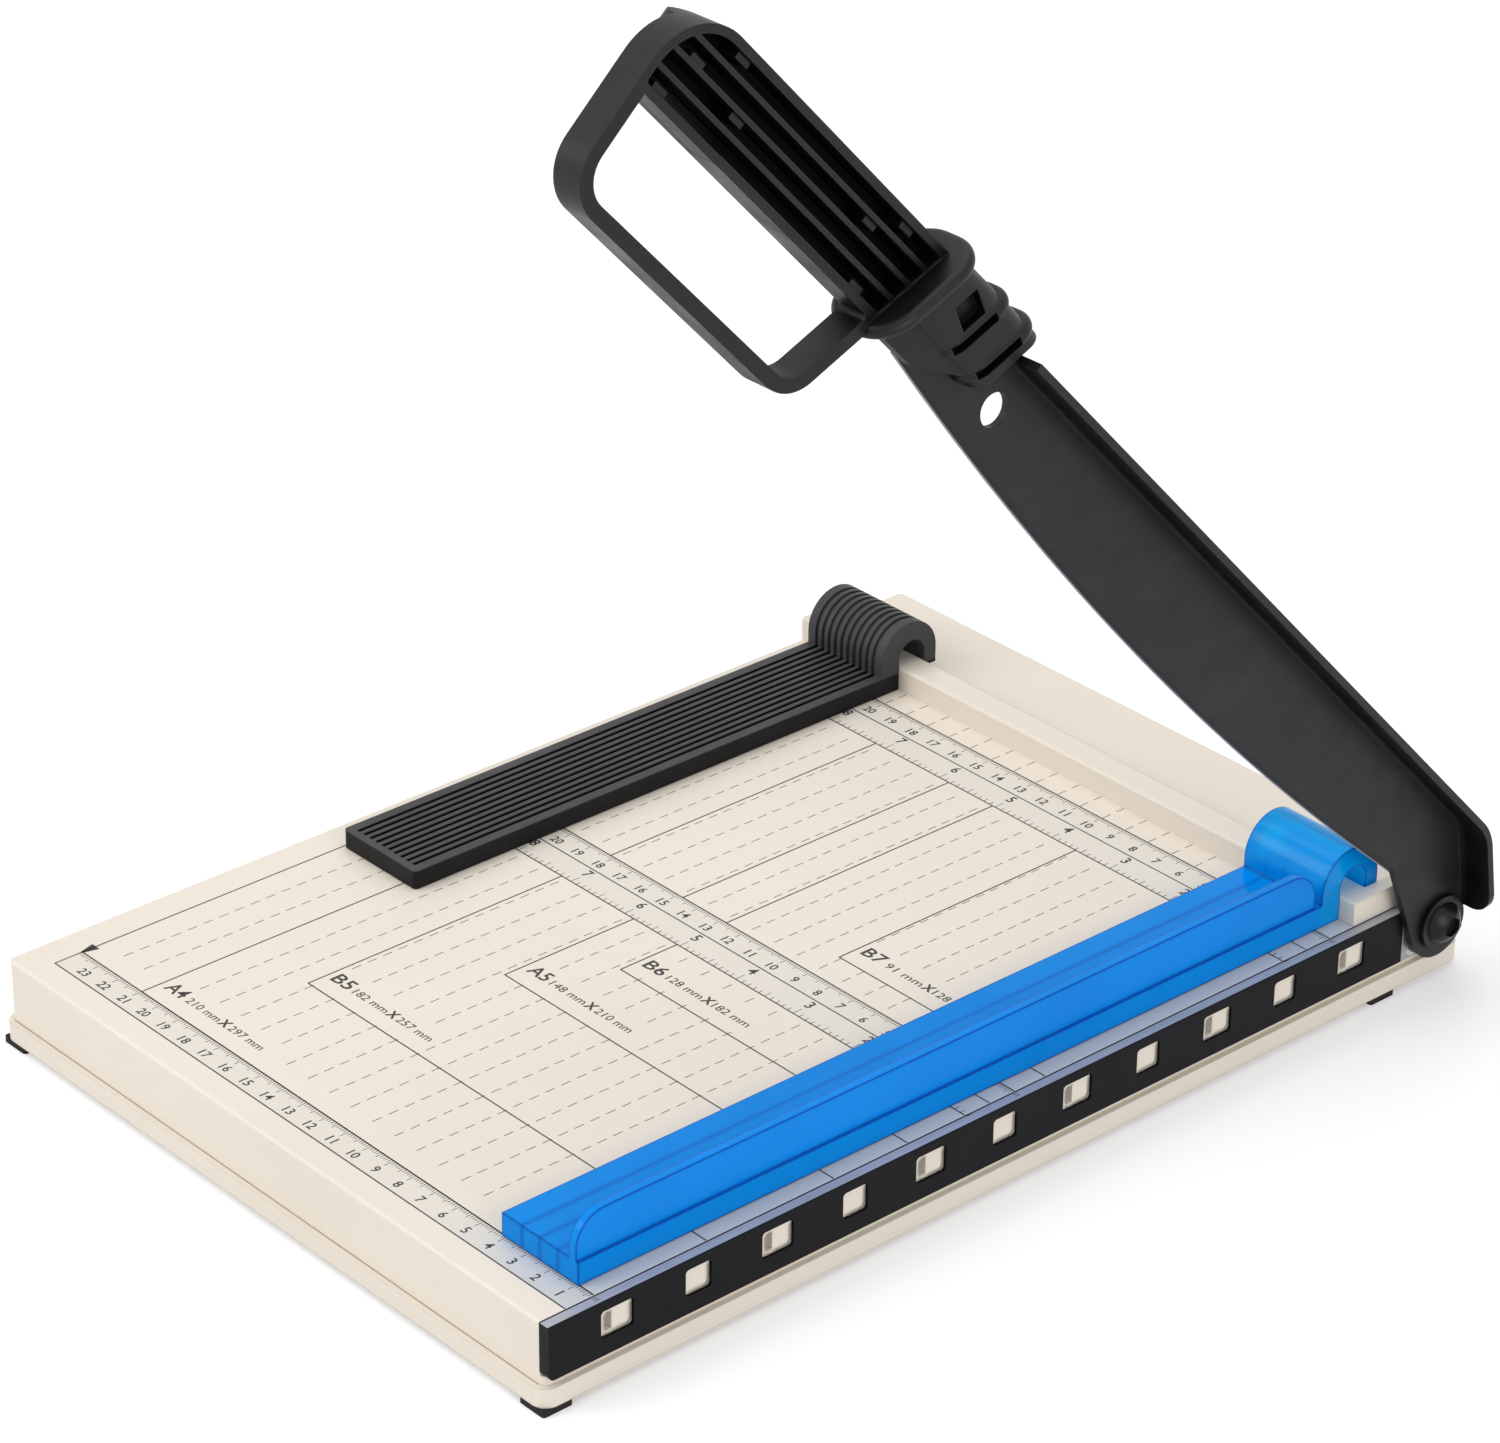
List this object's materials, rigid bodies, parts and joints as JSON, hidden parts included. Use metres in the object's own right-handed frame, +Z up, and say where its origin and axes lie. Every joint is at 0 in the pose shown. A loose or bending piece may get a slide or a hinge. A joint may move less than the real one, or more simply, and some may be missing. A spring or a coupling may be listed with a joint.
{
  "type": "paper cutter",
  "caption": "Guillotine paper cutter: cream printed table on a rimmed tray with rubber feet, hinged blade arm with guarded grip, sliding paper stop and blue paper clamp.",
  "frame": {"origin": "centre of the bounding box on the floor, under the middle of the table", "axes": "+X from the table toward the blade side, +Y away from the user along the cutting line, +Z up"},
  "size_m": [0.2694, 0.3666, 0.3867],
  "materials": {
    "cream_plastic": "fine satin texture",
    "dark_steel": "blackened, satin",
    "handle_plastic": "satin",
    "stop_plastic": "satin, ridges worn lighter",
    "foot_rubber": "matte",
    "blade_steel": "blackened, ground along the top edge",
    "arm_paint": "satin black coat, ground cutting edge",
    "grey_steel": "plain steel",
    "bright_steel": "zinc plated",
    "nylon": "plain",
    "clear_blue": "tinted, see-through"
  },
  "bodies": {
    "base": {"table_shell": "cream_plastic", "base_tray": "cream_plastic", "rubber_feet": "foot_rubber", "base_screws": "bright_steel", "fixed_blade": "blade_steel", "pivot_bracket": "grey_steel", "bracket_screws": "bright_steel", "bracket_nuts": "bright_steel", "pivot_bolt": "dark_steel", "head_washer": "dark_steel", "pivot_bush": "bright_steel", "inner_washer": "bright_steel", "disc_springs": "bright_steel", "lock_nut": "bright_steel", "nut_insert": "nylon"},
    "arm": {"blade_arm": "arm_paint", "handle": "handle_plastic", "handle_screws": "bright_steel"},
    "clamp": {"paper_clamp": "clear_blue"},
    "stop": {"paper_stop": "stop_plastic"}
  },
  "joints": [
    {"name": "arm_hinge", "type": "hinge", "parent": "base", "child": "arm", "pos_m": [0.1208, 0.1682, 0.0217], "axis": [1, 0, 0], "range_deg": [-20, 46.2]},
    {"name": "clamp_lift", "type": "hinge", "parent": "base", "child": "clamp", "pos_m": [0.0933, 0.1415, 0.0394], "axis": [-1, 0, 0], "range_deg": [0, 8]},
    {"name": "stop_slide", "type": "slide", "parent": "base", "child": "stop", "axis": [1, 0, 0], "range_m": [-0.0105, 0.16]}
  ]
}
